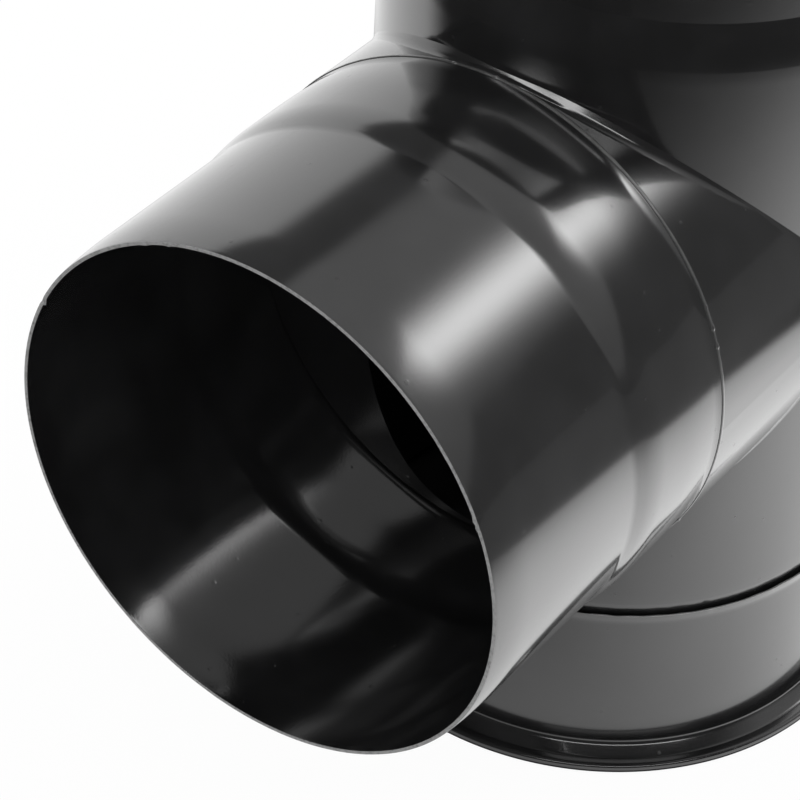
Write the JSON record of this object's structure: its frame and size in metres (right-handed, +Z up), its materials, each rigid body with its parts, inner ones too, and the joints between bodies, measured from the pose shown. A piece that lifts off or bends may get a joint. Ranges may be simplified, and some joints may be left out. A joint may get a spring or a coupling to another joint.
{
  "type": "stove pipe tee",
  "caption": "Black enamelled sheet-steel stove pipe tee: a vertical run with a swaged side branch welded to a drawn collar, and a slip-on cap closing the lower end.",
  "frame": {"origin": "centre of the cap's flat underside, on the axis of the run", "axes": "+Z up along the run, -Y out along the branch, X across"},
  "size_m": [0.1358, 0.2092, 0.2225],
  "materials": {
    "pipe_enamel": "gloss black vitreous enamel on sheet steel",
    "weld_enamel": "gloss black vitreous enamel over a weld bead",
    "cap_enamel": "gloss black vitreous enamel on sheet steel"
  },
  "bodies": {
    "tee": {"run_pipe": "pipe_enamel", "branch_pipe": "pipe_enamel", "branch_weld": "weld_enamel"},
    "cap": {"cap_shell": "cap_enamel", "cap_base": "cap_enamel"}
  },
  "joints": [
    {"name": "cap_pull_off", "type": "slide", "parent": "tee", "child": "cap", "axis": [0, 0, -1], "range_m": [0, 0.06]}
  ]
}
